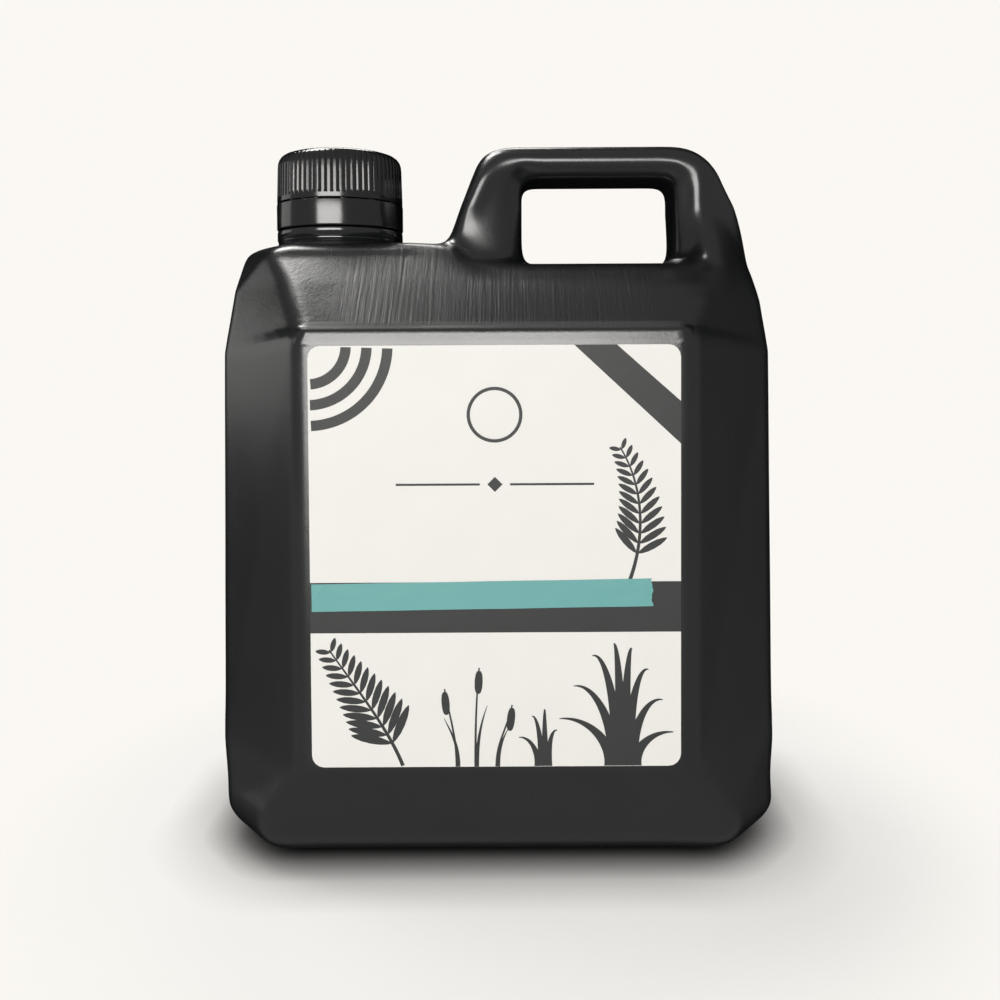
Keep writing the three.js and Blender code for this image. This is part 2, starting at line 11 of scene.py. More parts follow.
import bmesh
import bpy
from mathutils import Matrix, Vector, noise
from mathutils.bvhtree import BVHTree


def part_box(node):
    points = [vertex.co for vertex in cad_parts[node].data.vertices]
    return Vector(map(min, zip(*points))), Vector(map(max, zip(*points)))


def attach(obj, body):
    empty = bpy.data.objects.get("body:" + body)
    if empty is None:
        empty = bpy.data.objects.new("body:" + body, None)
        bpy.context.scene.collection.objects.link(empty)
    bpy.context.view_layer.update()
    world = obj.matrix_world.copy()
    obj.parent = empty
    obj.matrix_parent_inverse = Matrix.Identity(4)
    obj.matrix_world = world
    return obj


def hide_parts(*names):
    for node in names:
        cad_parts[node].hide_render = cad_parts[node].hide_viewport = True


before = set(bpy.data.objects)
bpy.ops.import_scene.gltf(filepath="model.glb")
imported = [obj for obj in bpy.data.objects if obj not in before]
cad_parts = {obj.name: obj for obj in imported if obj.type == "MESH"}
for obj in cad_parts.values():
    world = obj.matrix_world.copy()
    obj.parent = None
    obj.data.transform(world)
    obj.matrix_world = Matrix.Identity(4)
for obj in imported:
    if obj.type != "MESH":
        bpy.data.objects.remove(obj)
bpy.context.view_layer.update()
mm = 0.001
neck_x = -38.8

# %% [markdown]
# ## The camera
#
# The picture was taken from close by, so the near face looks clearly larger than the sides. The lens and
# the distance come from that perspective. The camera stands a little below the shoulder and tilts down
# slightly, and the small lens shift slides the frame without bending the upright edges.

# %% Camera
camera_data = bpy.data.cameras.new("camera")
camera_data.sensor_width = 36
camera_data.lens = 34.7
camera_data.shift_x = -0.015
camera_data.shift_y = -0.12
camera_data.clip_start = 0.01
camera = bpy.data.objects.new("camera", camera_data)
camera.location = (4.4 * mm, -241 * mm, 112.7 * mm)
camera.rotation_euler = (math.radians(90 - 1.8), math.radians(0.3), 0)
bpy.context.scene.collection.objects.link(camera)
bpy.context.scene.camera = camera
bpy.context.scene.view_settings.view_transform = "Standard"
print("camera height over the base:", round(camera.location.z / mm, 1), "mm")

# %% [markdown]
# ## Small helpers
#
# Every piece ends the same way: its bmesh becomes an object at the origin, it rides on a body of the
# frame, and it takes a material. One function does that, and one more writes a node of a material, so
# that each finish below reads as a short recipe.

# %% Helpers for pieces
def piece_from(name, shape, body, material, smooth_angle=32):
    shape.normal_update()
    mesh = bpy.data.meshes.new(name)
    shape.to_mesh(mesh)
    shape.free()
    mesh.shade_smooth()
    mesh.set_sharp_from_angle(angle=math.radians(smooth_angle))
    piece = bpy.data.objects.new(name, mesh)
    bpy.context.scene.collection.objects.link(piece)
    mesh.materials.append(material)
    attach(piece, body)
    print(name, "has", sum(len(face.vertices) - 2 for face in mesh.polygons), "triangles")
    return piece


def spun(profile, steps, centre_x=0.0):
    """Turn a profile of (radius, height) in mm, which starts and ends on the axis or closes on itself."""
    shape = bmesh.new()
    points = [shape.verts.new((centre_x * mm + radius * mm, 0, height * mm)) for radius, height in profile]
    on_axis = profile[0][0] == 0
    edges = [shape.edges.new(pair) for pair in zip(points, points[1:])]
    if not on_axis:
        edges.append(shape.edges.new((points[-1], points[0])))
    bmesh.ops.spin(shape, geom=points + edges, cent=(centre_x * mm, 0, 0), axis=(0, 0, 1),
                   angle=math.tau, steps=steps, use_merge=True)
    bmesh.ops.remove_doubles(shape, verts=shape.verts, dist=0.002 * mm)
    bmesh.ops.recalc_face_normals(shape, faces=shape.faces)
    return shape


def rounded(corner, before, after, radius, steps=4):
    """Points that round one corner of a profile, between the directions of its two neighbours."""
    corner, before, after = Vector(corner), Vector(before), Vector(after)
    start = corner + (before - corner).normalized() * radius
    end = corner + (after - corner).normalized() * radius
    points = []
    for step in range(steps + 1):
        share = step / steps
        points.append(tuple(start * (1 - share) ** 2 + corner * 2 * share * (1 - share) + end * share ** 2))
    return points


# %% Helpers for materials
def new_material(name, **surface):
    material = bpy.data.materials.new(name)
    material.use_nodes = True
    shader = material.node_tree.nodes["Principled BSDF"]
    for socket, value in surface.items():
        shader.inputs[socket.replace("_", " ")].default_value = value
    return material, material.node_tree, shader


def add_node(tree, kind, links=None, **settings):
    """Add one node. Settings are its properties or sockets, and links feed its sockets by name."""
    made = tree.nodes.new(kind)
    for key, value in settings.items():
        if hasattr(made, key):
            setattr(made, key, value)
        else:
            made.inputs[key.replace("_", " ")].default_value = value
    for key, source in (links or {}).items():
        target = made.inputs[key if isinstance(key, int) else key.replace("_", " ")]
        tree.links.new(source, target)
    return made


def object_pattern(tree, scale):
    """Object coordinates, stretched by a scale for each axis, in repeats per metre."""
    place = add_node(tree, "ShaderNodeTexCoord")
    return add_node(tree, "ShaderNodeMapping", {"Vector": place.outputs["Object"]}, Scale=scale).outputs[0]


def math_node(tree, operation, first, second=None):
    made = tree.nodes.new("ShaderNodeMath")
    made.operation = operation
    for socket, value in zip(made.inputs, (first, second)):
        if isinstance(value, bpy.types.NodeSocket):
            tree.links.new(value, socket)
        elif value is not None:
            socket.default_value = value
    return made.outputs[0]


def window(tree, value, low, high, soft):
    """1 where value lies between low and high, with soft ends."""
    rise = add_node(tree, "ShaderNodeMapRange", {"Value": value}, interpolation_type="SMOOTHSTEP",
                    From_Min=low - soft, From_Max=low)
    fall = add_node(tree, "ShaderNodeMapRange", {"Value": value}, interpolation_type="SMOOTHSTEP",
                    From_Min=high, From_Max=high + soft, To_Min=1, To_Max=0)
    return math_node(tree, "MULTIPLY", rise.outputs[0], fall.outputs[0])


# %% [markdown]
# ## Blown black polyethylene
#
# A blown bottle is satin, never mirror-like. The hot tube of plastic leaves fine die lines that run down
# the front slope, where it was stretched most, and the mould leaves a parting line on the mid-plane. The
# colour is an even charcoal black, so nearly all of the look is in the roughness and the bump: a broad
# waviness, a fine grain, a little more grain on the front slope, and the die lines, which also make the
# slope duller. Its foot is a little glossier, and dust dulls the crease below it. The neck is moulded, so
# it is glossy and has none of the blown marks. All of them read object coordinates, in repeats per metre,
# so that they keep their real size.

# %% Bottle plastic
def make_bottle_plastic():
    material, tree, shader = new_material("bottle_plastic", IOR=1.6, Specular_IOR_Level=0.75)
    place = add_node(tree, "ShaderNodeTexCoord").outputs["Object"]
    x, y, z = add_node(tree, "ShaderNodeSeparateXYZ", {"Vector": place}).outputs[:3]
    front = math_node(tree, "LESS_THAN", y, -0.012)
    streaks = add_node(tree, "ShaderNodeTexNoise", {"Vector": object_pattern(tree, (1500, 60, 18))},
                       Scale=1, Detail=3, Roughness=0.6).outputs[0]
    wave = add_node(tree, "ShaderNodeTexNoise", {"Vector": object_pattern(tree, (70, 70, 45))},
                    Scale=1, Detail=2).outputs[0]
    grain = add_node(tree, "ShaderNodeTexNoise", {"Vector": object_pattern(tree, (1300,) * 3)},
                     Scale=1, Detail=3, Roughness=0.6).outputs[0]
    on_slope = math_node(tree, "MULTIPLY", window(tree, z, 0.1185, 0.1365, 0.002),
                         window(tree, x, -0.026, 0.030, 0.014))
    from_neck = add_node(tree, "ShaderNodeVectorMath", {0: place}, operation="DISTANCE")
    from_neck.inputs[1].default_value = (neck_x * mm, 0, 0.148)
    on_neck = math_node(tree, "MULTIPLY", window(tree, z, 0.1386, 0.16, 0.0004),
                        math_node(tree, "LESS_THAN", from_neck.outputs["Value"], 0.022))
    blown = math_node(tree, "SUBTRACT", 1.0, on_neck)
    line = window(tree, y, -0.00012, 0.00012, 0.00012)
    die_lines = math_node(tree, "MULTIPLY", streaks, math_node(tree, "MULTIPLY", on_slope, front))
    leather = math_node(tree, "MULTIPLY", math_node(tree, "MULTIPLY", grain, front),
                        window(tree, z, 0.1175, 0.1375, 0.002))
    height = math_node(tree, "ADD", math_node(tree, "MULTIPLY", leather, 0.000012),
                       math_node(tree, "MULTIPLY", die_lines, 0.00008))
    height = math_node(tree, "ADD", height, math_node(tree, "MULTIPLY", wave, 0.00009))
    height = math_node(tree, "ADD", height, math_node(tree, "MULTIPLY", grain, 0.000018))
    height = math_node(tree, "MULTIPLY", height, blown)
    height = math_node(tree, "ADD", height, math_node(tree, "MULTIPLY", line, 0.00008))
    bump = add_node(tree, "ShaderNodeBump", {"Height": height}, Strength=1, Distance=1)
    tree.links.new(bump.outputs[0], shader.inputs["Normal"])
    rough = add_node(tree, "ShaderNodeMapRange", {"Value": wave}, To_Min=0.22, To_Max=0.30).outputs[0]
    rough = math_node(tree, "ADD", rough, math_node(tree, "MULTIPLY", die_lines, 0.16))
    slope_foot = math_node(tree, "MULTIPLY", window(tree, z, 0.1175, 0.1200, 0.009), front)
    rough = math_node(tree, "SUBTRACT", rough, math_node(tree, "MULTIPLY", slope_foot, 0.04))
    crease = math_node(tree, "MULTIPLY", window(tree, z, 0.1174, 0.1184, 0.0006),
                       window(tree, x, -0.0395, 0.0395, 0.002))
    crease = math_node(tree, "MULTIPLY", crease, front)
    rough = math_node(tree, "ADD", rough, math_node(tree, "MULTIPLY", crease, 0.3))
    rough = math_node(tree, "SUBTRACT", rough, math_node(tree, "MULTIPLY", on_neck, 0.13))
    tree.links.new(rough, shader.inputs["Roughness"])
    tint = add_node(tree, "ShaderNodeMix", {"Factor": wave}, data_type="RGBA")
    tint.inputs["A"].default_value = (0.0090, 0.0098, 0.0108, 1)
    tint.inputs["B"].default_value = (0.0125, 0.0134, 0.0146, 1)
    tree.links.new(tint.outputs["Result"], shader.inputs["Base Color"])
    return material


bottle_plastic = make_bottle_plastic()

# %% [markdown]
# ## The blown body
#
# The wall is one skin that flows from the body into the handle and back, with soft fillets wherever the
# plastic was blown into a corner. A fillet along so many crossing forms is hard to bevel edge by edge.
# So a copy of the frame's bottle is merged, its neck is cut off, and its two skins are taken apart. The
# outer one alone is remeshed into small even cells, and smoothing then rounds every edge the way blowing
# does.

# %% Outer and inner skins
platform_top = 138.0
neck_cut_radius = 16.2
neck_cut_height = platform_top + 0.1


def skins_of_bottle():
    shape = bmesh.new()
    shape.from_mesh(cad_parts["bottle"].data)
    bmesh.ops.remove_doubles(shape, verts=shape.verts, dist=0.001 * mm)
    neck_faces = []
    for face in shape.faces:
        centre = face.calc_center_median()
        from_axis = math.hypot(centre.x - neck_x * mm, centre.y)
        if from_axis < neck_cut_radius * mm and centre.z > neck_cut_height * mm:
            neck_faces.append(face)
    bmesh.ops.delete(shape, geom=neck_faces, context="FACES")
    bmesh.ops.holes_fill(shape, edges=[edge for edge in shape.edges if edge.is_boundary], sides=0)
    islands = []
    waiting = set(shape.verts)
    while waiting:
        island, stack = set(), [waiting.pop()]
        while stack:
            vertex = stack.pop()
            island.add(vertex)
            for edge in vertex.link_edges:
                other = edge.other_vert(vertex)
                if other in waiting:
                    waiting.remove(other)
                    stack.append(other)
        islands.append(island)
    islands.sort(key=lambda island: max(vertex.co.x for vertex in island), reverse=True)
    return shape, islands


def island_alone(shape, island, name):
    kept = {vertex.index for vertex in island}
    copy = shape.copy()
    copy.verts.ensure_lookup_table()
    extra = [vertex for vertex in copy.verts if vertex.index not in kept]
    bmesh.ops.delete(copy, geom=extra, context="VERTS")
    bmesh.ops.recalc_face_normals(copy, faces=copy.faces)
    mesh = bpy.data.meshes.new(name)
    copy.to_mesh(mesh)
    copy.free()
    made = bpy.data.objects.new(name, mesh)
    bpy.context.scene.collection.objects.link(made)
    return made


whole_shape, skin_islands = skins_of_bottle()
whole_shape.verts.index_update()
outer_skin = island_alone(whole_shape, skin_islands[0], "outer_skin")
inner_skin = island_alone(whole_shape, skin_islands[1], "inner_skin")
whole_shape.free()
print("skins found:", len(skin_islands), [len(island) for island in skin_islands])

# %% Small even cells
cell = 0.55


def apply_modifiers(target):
    evaluated = target.evaluated_get(bpy.context.evaluated_depsgraph_get())
    mesh = bpy.data.meshes.new_from_object(evaluated)
    target.modifiers.clear()
    target.data = mesh


remesh = outer_skin.modifiers.new("cells", "REMESH")
remesh.mode = "VOXEL"
remesh.voxel_size = cell * mm
apply_modifiers(outer_skin)
print("cells:", len(outer_skin.data.polygons))

# %% [markdown]
# ## Fuller forms
#
# A few soft forms of the blown bottle are missing from the frame's flat faces. The handle's bar is fuller
# below its ridge, and its left leg slants back towards the hand hole. The corners over the base are full.
# The lip over the label stands upright, with a small ledge on top. Sculpting could do this, but a short
# rule that moves each point is exact, and easy to change. Both skins follow the rule for the grip, so
# that the wall keeps its thickness there. All of the forms stay inside the frame's box.

# %% Rules for the forms
end_reach = 65.4


def ramp(value, low, high):
    return min(1.0, max(0.0, (value - low) / (high - low)))


def eased(value, low, high):
    share = ramp(value, low, high)
    return share * share * (3 - 2 * share)


def grip_shape(point):
    """The bar is fuller below its ridge, and the left leg slants back towards the hand hole."""
    x, y, z = (value / mm for value in point)
    if z < 138.5 or x < -12:
        return point
    ridge = -8.0 + 0.554 * (z - 141.3)
    on_leg = ramp(z, 138.5, 144) * ramp(-z, -158, -154) * ramp(-x, -9, -6.2)
    on_bar = ramp(x, 3, 9) * ramp(-x, -46, -41)
    proud = 0.12 * (1 - eased(x, ridge - 2.4, ridge + 2))
    slant = 0.15 * ramp(x, ridge - 0.5, ridge + 8)
    full = 0.28 * ramp(-z, -158.4, -153.7) ** 1.5 + 0.05 * math.exp(-((z - 156.3) / 1.3) ** 2)
    scale = 1 + (proud - slant) * on_leg + full * on_bar
    return Vector((point.x, point.y * scale, point.z))


def heel_shape(point):
    """The corners over the base are full, more so at the handle's end."""
    x, y, z = (value / mm for value in point)
    if z > 36 or abs(x) < 36:
        return point
    at_floor = (2.2 if x > 0 else 1.3) * math.exp(-((z - 5) / 6.5) ** 2) * ramp(z, -0.5, 1.5)
    above_it = (0.6 if x > 0 else 0.45) * math.exp(-((z - 17) / 8) ** 2)
    grown = eased(abs(x), 36, 50) * (at_floor + above_it)
    wide = min(abs(x) + grown, max(abs(x), end_reach))
    deep = y + math.copysign(grown * 0.4, y) * ramp(abs(y), 4, 16)
    return Vector((math.copysign(wide, x) * mm, deep * mm, point.z))


def lip_shape(point):
    """The lip over the label stands almost upright, and its top edge is a small ledge before the slope."""
    x, y, z = (value / mm for value in point)
    if not 113.9 < z < 117.6 or abs(y) < 33.5 or abs(x) > 42.5:
        return point
    upright = 37.5 - 0.28 * ramp(z, 114.2, 117.2) - 0.5 * ramp(z, 116.6, 117.6) ** 2
    share = ramp(-abs(x), -42.5, -40)
    depth = abs(y) * (1 - share) + upright * share
    return Vector((point.x, math.copysign(depth, y) * mm, point.z))


def reshape(target, rule):
    for vertex in target.data.vertices:
        vertex.co = rule(vertex.co)


for skin in (outer_skin, inner_skin):
    reshape(skin, grip_shape)
reshape(outer_skin, heel_shape)
print("reshaped points:", len(outer_skin.data.vertices), "outside,", len(inner_skin.data.vertices), "inside")

# %% [markdown]
# ## Soft edges
#
# Plastic that is blown into a corner stays thick and round there. The label panel and its lip are the
# crispest places. The shoulder and the handle are softer, the heel more so, and softest of all is the
# blend where the handle grows out of the shoulder. Three smoothing steps do this: a light one
# everywhere, and two that follow vertex groups. The lip gets its form last, so that no smoothing dulls it.

# %% Smoothing
heel_top = 24.0
lip_foot = 112.0
shoulder_foot = 119.5
kept_share = 0.32


def softness(point):
    """How strongly a place is smoothed: the label panel and its lip stay crisp, the rest was blown soft."""
    z = point.z / mm
    if z < heel_top:
        return 0.7
    if z > shoulder_foot:
        return 0.4
    return 0.08 if z > lip_foot else 0.25


def rootness(point):
    """1 where the handle grows out of the shoulder, which is the softest blend of all."""
    x, z = point.x / mm, point.z / mm
    along = ramp(x, -20, -14)
    up = ramp(z, 124, 128.5) * (1 - 0.9 * ramp(z, 139, 147))
    return round(along * up, 1)


def weigh(target, name, rule):
    """A vertex group whose weights follow a rule for each point."""
    group = target.vertex_groups.new(name=name)
    by_weight = {}
    for vertex in target.data.vertices:
        by_weight.setdefault(rule(vertex.co), []).append(vertex.index)
    for weight, indices in by_weight.items():
        if weight > 0:
            group.add(indices, weight, "REPLACE")


weigh(outer_skin, "soft", softness)
weigh(outer_skin, "root", rootness)
for group_name, iterations in (("", 6), ("soft", 45), ("root", 220)):
    smoothing = outer_skin.modifiers.new("smooth " + group_name, "SMOOTH")
    smoothing.factor = 0.5
    smoothing.iterations = iterations
    smoothing.vertex_group = group_name
apply_modifiers(outer_skin)
outer_skin.vertex_groups.clear()
reshape(outer_skin, lip_shape)
thin = outer_skin.modifiers.new("thin", "DECIMATE")
thin.ratio = kept_share
apply_modifiers(outer_skin)
print("outer skin triangles:", len(outer_skin.data.polygons))

# %% Wall thickness
def thinnest_wall(inner, outer):
    """The least distance from the inner skin to the outer one, and where it is. Below 0 it pokes out."""
    tree = BVHTree.FromObject(outer, bpy.context.evaluated_depsgraph_get())
    least = (1.0, None)
    points = [vertex.co for vertex in inner.data.vertices] + [face.center for face in inner.data.polygons]
    for point in points:
        near, normal, index, distance = tree.find_nearest(point)
        signed = distance if (near - point).dot(normal) > 0 else -distance
        if signed < least[0]:
            least = (signed, point)
    return round(least[0] / mm, 2), [round(value / mm, 1) for value in least[1]]


print("thinnest wall:", thinnest_wall(inner_skin, outer_skin))

# %% [markdown]
# ## The neck
#
# The neck is turned about its own axis, so its profile is drawn once and spun. From the bottom it has the
# support ring with a fine groove, a plain stretch, the bead that holds the tamper band, and the mouth with
# rounded lips. The thread is a small section that turns and climbs at the same time. The spin operator
# does both when it is given a rise for each step.

# %% Neck and thread
neck_radius = 12.45
bore_radius = 10.85
neck_top = 157.2
ring_radius = 15.3
ring_top = 141.8
bead_radius = 14.2
bead_bottom = 144.9
bead_height = 1.5
thread_lead = 4.23
thread_turns = 1.5
thread_radius = 13.7
thread_start = 150.0
neck_foot = 135.0
ring_groove = 139.4


def neck_profile():
    outside = [(ring_radius - 0.2, neck_foot), (ring_radius - 0.2, ring_groove - 0.15),
               (ring_radius - 0.5, ring_groove - 0.1), (ring_radius - 0.5, ring_groove + 0.1),
               (ring_radius, ring_groove + 0.15), (ring_radius, ring_top - 0.6)]
    outside += rounded((ring_radius, ring_top), (ring_radius, 0), (0, ring_top), 0.45)
    outside += rounded((neck_radius, ring_top), (20, ring_top), (neck_radius, 200), 0.5)
    outside += rounded((neck_radius, bead_bottom), (neck_radius, 0), (20, bead_bottom), 0.2, 2)
    outside += rounded((bead_radius, bead_bottom), (0, bead_bottom), (bead_radius, 200), 0.25, 3)
    outside += [(bead_radius - 0.1, bead_bottom + 0.5), (neck_radius + 0.1, bead_bottom + bead_height),
                (neck_radius, bead_bottom + bead_height + 0.2)]
    outside += rounded((neck_radius, neck_top), (neck_radius, 0), (0, neck_top), 0.5)
    outside += rounded((bore_radius, neck_top), (20, neck_top), (bore_radius, 0), 0.35)
    outside += [(bore_radius, neck_foot)]
    return outside


def thread_bead(foot, crest, start_height, start_angle, turns, foot_half, crest_half, steps_per_turn=72):
    """A bead on a screw line: four points for its section, spun with a rise for each step."""
    shape = bmesh.new()
    start = start_height + thread_lead * start_angle / math.tau
    section = [(foot, start - foot_half), (crest, start - crest_half),
               (crest, start + crest_half), (foot, start + foot_half)]
    corners = [shape.verts.new((radius * mm, 0, height * mm)) for radius, height in section]
    bmesh.ops.rotate(shape, verts=corners, cent=(0, 0, 0), matrix=Matrix.Rotation(start_angle, 3, "Z"))
    edges = [shape.edges.new((corners[side], corners[(side + 1) % 4])) for side in range(4)]
    steps = round(turns * steps_per_turn)
    bmesh.ops.spin(shape, geom=corners + edges, cent=(0, 0, 0), axis=(0, 0, 1), angle=turns * math.tau,
                   steps=steps, dvec=(0, 0, thread_lead * mm / steps_per_turn))
    run_out = 0.35
    for vertex in shape.verts:
        turn = (vertex.co.z / mm - start) / thread_lead * math.tau
        from_end = min(turn, turns * math.tau - turn) + 0.4
        radius = math.hypot(vertex.co.x, vertex.co.y) / mm
        if abs(radius - crest) < 0.01:
            share = min(1.0, max(0.1, from_end / run_out / 2))
            scale = (foot + (crest - foot) * share) / radius
            vertex.co.x *= scale
            vertex.co.y *= scale
    bmesh.ops.holes_fill(shape, edges=[edge for edge in shape.edges if edge.is_boundary], sides=0)
    bmesh.ops.translate(shape, verts=shape.verts, vec=(neck_x * mm, 0, 0))
    bmesh.ops.recalc_face_normals(shape, faces=shape.faces)
    return shape


def helper_object(shape, name):
    mesh = bpy.data.meshes.new(name)
    shape.to_mesh(mesh)
    shape.free()
    made = bpy.data.objects.new(name, mesh)
    bpy.context.scene.collection.objects.link(made)
    return made


def combine(target, other, operation):
    """Join or cut two closed meshes, and remove the second one."""
    step = target.modifiers.new("combine", "BOOLEAN")
    step.operation = operation
    step.solver = "MANIFOLD"
    step.object = other
    apply_modifiers(target)
    bpy.data.objects.remove(other)


neck = helper_object(spun(neck_profile(), 128, neck_x), "neck")
neck_thread = thread_bead(neck_radius - 0.5, thread_radius, thread_start, 0, thread_turns, 0.9, 0.35)
combine(neck, helper_object(neck_thread, "neck_thread"), "UNION")
print("neck triangles:", len(neck.data.polygons))

# %% The whole bottle
bore_wide = bore_radius + 0.4
bore_profile = [(0, platform_top - 7), (bore_wide, platform_top - 7),
                (bore_wide, platform_top + 3), (0, platform_top + 3)]
bore = helper_object(spun(bore_profile, 128, neck_x), "bore")
combine(outer_skin, inner_skin, "DIFFERENCE")
combine(outer_skin, bore, "DIFFERENCE")
combine(outer_skin, neck, "UNION")
bottle_shape = bmesh.new()
bottle_shape.from_mesh(outer_skin.data)
bpy.data.objects.remove(outer_skin)
open_edges = sum(1 for edge in bottle_shape.edges if not edge.is_manifold)
bottle_body = piece_from("bottle_body", bottle_shape, "jerrycan", bottle_plastic, 38)
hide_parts("bottle")
print("open edges on the bottle:", open_edges)

# %% [markdown]
# ## The screw cap
#
# The cap is moulded, so it is glossier than the bottle, and its sixty-six grip ribs are crisp. A profile
# is spun with ten steps to each rib. Then every point on the skirt moves inward by a wave that leaves a
# flat crest on each rib. The wave fades towards the plain collar below and into the rounded top edge
# above. Inside there is the flat seat for the foam wad, and a thread that matches the neck's.

# %% Cap plastic
def make_cap_plastic():
    material, tree, shader = new_material("cap_plastic", IOR=1.62, Specular_IOR_Level=0.65)
    wave = add_node(tree, "ShaderNodeTexNoise", {"Vector": object_pattern(tree, (220, 220, 160))},
                    Scale=1, Detail=3).outputs[0]
    grain = add_node(tree, "ShaderNodeTexNoise", {"Vector": object_pattern(tree, (4200,) * 3)},
                     Scale=1, Detail=1).outputs[0]
    rough = add_node(tree, "ShaderNodeMapRange", {"Value": wave}, To_Min=0.12, To_Max=0.2)
    tree.links.new(rough.outputs[0], shader.inputs["Roughness"])
    tint = add_node(tree, "ShaderNodeMix", {"Factor": wave}, data_type="RGBA")
    tint.inputs["A"].default_value = (0.0075, 0.0078, 0.0082, 1)
    tint.inputs["B"].default_value = (0.0115, 0.0118, 0.0125, 1)
    tree.links.new(tint.outputs["Result"], shader.inputs["Base Color"])
    height = math_node(tree, "ADD", math_node(tree, "MULTIPLY", wave, 0.00003),
                       math_node(tree, "MULTIPLY", grain, 0.000003))
    bump = add_node(tree, "ShaderNodeBump", {"Height": height}, Strength=1, Distance=1)
    tree.links.new(bump.outputs[0], shader.inputs["Normal"])
    return material


cap_plastic = make_cap_plastic()

# %% Screw cap
cap_top = 160.6
cap_bottom = 148.6
cap_radius = 15.3
cap_plate = 1.6
cap_bore = 14.0
rib_bottom = 149.8
rib_count = 66
rib_depth = 0.22
cap_edge_round = 3.4


def cap_profile():
    draft = 0.2
    side = cap_radius - draft
    points = [(0, cap_top - 0.25), (side - 4.6, cap_top - 0.1)]
    points += rounded((side, cap_top), (0, cap_top), (side, 0), cap_edge_round, 6)
    skirt_top = cap_top - cap_edge_round
    points += [(side + draft * share, skirt_top - (skirt_top - rib_bottom) * share)
               for share in (0.25, 0.5, 0.75, 0.9, 0.98, 1.0)]
    points += [(cap_radius, rib_bottom - 0.08)]
    points += rounded((cap_radius, cap_bottom), (cap_radius, 200), (0, cap_bottom), 0.2, 3)
    points += rounded((cap_bore, cap_bottom), (20, cap_bottom), (cap_bore, 200), 0.2, 3)
    points += [(cap_bore, cap_top - cap_plate), (0, cap_top - cap_plate)]
    return points


def rib_wave(angle):
    """0 in a groove and 1 on a rib's flat crest."""
    share = abs((angle / math.tau * rib_count) % 1 - 0.5)
    return 1.0 if share < 0.24 else 0.5 + 0.5 * math.cos(math.pi * (share - 0.24) / 0.26)


def make_screw_cap():
    shape = spun(cap_profile(), rib_count * 10, neck_x)
    for vertex in shape.verts:
        across = Vector((vertex.co.x - neck_x * mm, vertex.co.y))
        radius = across.length / mm
        height = vertex.co.z / mm
        if radius < cap_bore + 0.3 or height < rib_bottom - 0.01:
            continue
        fade = min(1.0, (height - rib_bottom) / 0.15) * min(1.0, max(0.0, (cap_top - height - 0.4) / 1.6))
        depth = rib_depth * fade * (1 - rib_wave(math.atan2(across.y, across.x)))
        across *= (radius - depth) / radius
        vertex.co.x = neck_x * mm + across.x
        vertex.co.y = across.y
    return shape


cap_thread_height = thread_start - thread_lead / 2
cap_thread_from = (cap_bottom + 0.8 + 0.5 - cap_thread_height) / thread_lead * math.tau
cap_shell = helper_object(make_screw_cap(), "cap_shell")
cap_thread = thread_bead(cap_bore + 0.3, neck_radius + 0.5, cap_thread_height, cap_thread_from,
                         thread_turns, 0.8, 0.3)
combine(cap_shell, helper_object(cap_thread, "cap_thread"), "UNION")
cap_shape = bmesh.new()
cap_shape.from_mesh(cap_shell.data)
bpy.data.objects.remove(cap_shell)
ribbed_cap = piece_from("ribbed_cap", cap_shape, "cap", cap_plastic, 40)
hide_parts("screw_cap")

# %% [markdown]
# ## The tamper band
#
# The band was one piece with the cap until the first opening. It keeps the stubs of its thin bridges, and
# inside it has a lip that catches under the neck's bead. It is spun, with soft edges that catch the light,
# and the stubs are small bevelled blocks.

# %% Tamper band
band_radius = 15.4
band_wall = 0.8
band_bottom = 142.1
band_top = 148.35
bridge_count = 14


def make_tamper_band():
    inner = band_radius - band_wall
    lug_top = bead_bottom - 0.3
    profile = rounded((band_radius, band_bottom), (0, band_bottom), (band_radius, 200), 0.35)
    profile += rounded((band_radius, band_top), (band_radius, 0), (0, band_top), 0.25)
    profile += [(inner, band_top), (inner, lug_top), (13.3, lug_top), (13.3, lug_top - 0.6),
                (inner, lug_top - 1.6), (inner, band_bottom)]
    shape = spun(profile, 160, neck_x)
    neck_axis = Matrix.Translation((neck_x * mm, 0, 0))
    for bridge in range(bridge_count):
        turn = Matrix.Rotation(bridge / bridge_count * math.tau, 4, "Z")
        place = Matrix.Translation(((band_radius - 0.45) * mm, 0, (band_top + 0.06) * mm))
        size = Matrix.Diagonal((0.5 * mm, 1.3 * mm, 0.2 * mm, 1))
        block = bmesh.ops.create_cube(shape, size=1, matrix=neck_axis @ turn @ place @ size)
        edges = {edge for vertex in block["verts"] for edge in vertex.link_edges}
        bmesh.ops.bevel(shape, geom=list(edges), offset=0.06 * mm, offset_type="OFFSET", affect="EDGES",
                        segments=2, profile=0.5, material=-1)
    return shape


band = piece_from("tamper_ring", make_tamper_band(), "jerrycan", cap_plastic, 40)
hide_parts("tamper_band")

# %% [markdown]
# ## The label and its print
#
# The label is a satin film, stuck flat on the front panel. Its print is an off-white ground with charcoal
# shapes: a band across, a ribbon over one corner, arcs in another, and ferns, reeds and grass at the
# edges. Ink has almost no height, but thin solid shapes give cleaner edges than a painted pattern. So
# each shape is a flat face that is extruded by a few hundredths of a millimetre, and each lies a trace
# higher than the last, so that no two faces share a plane.

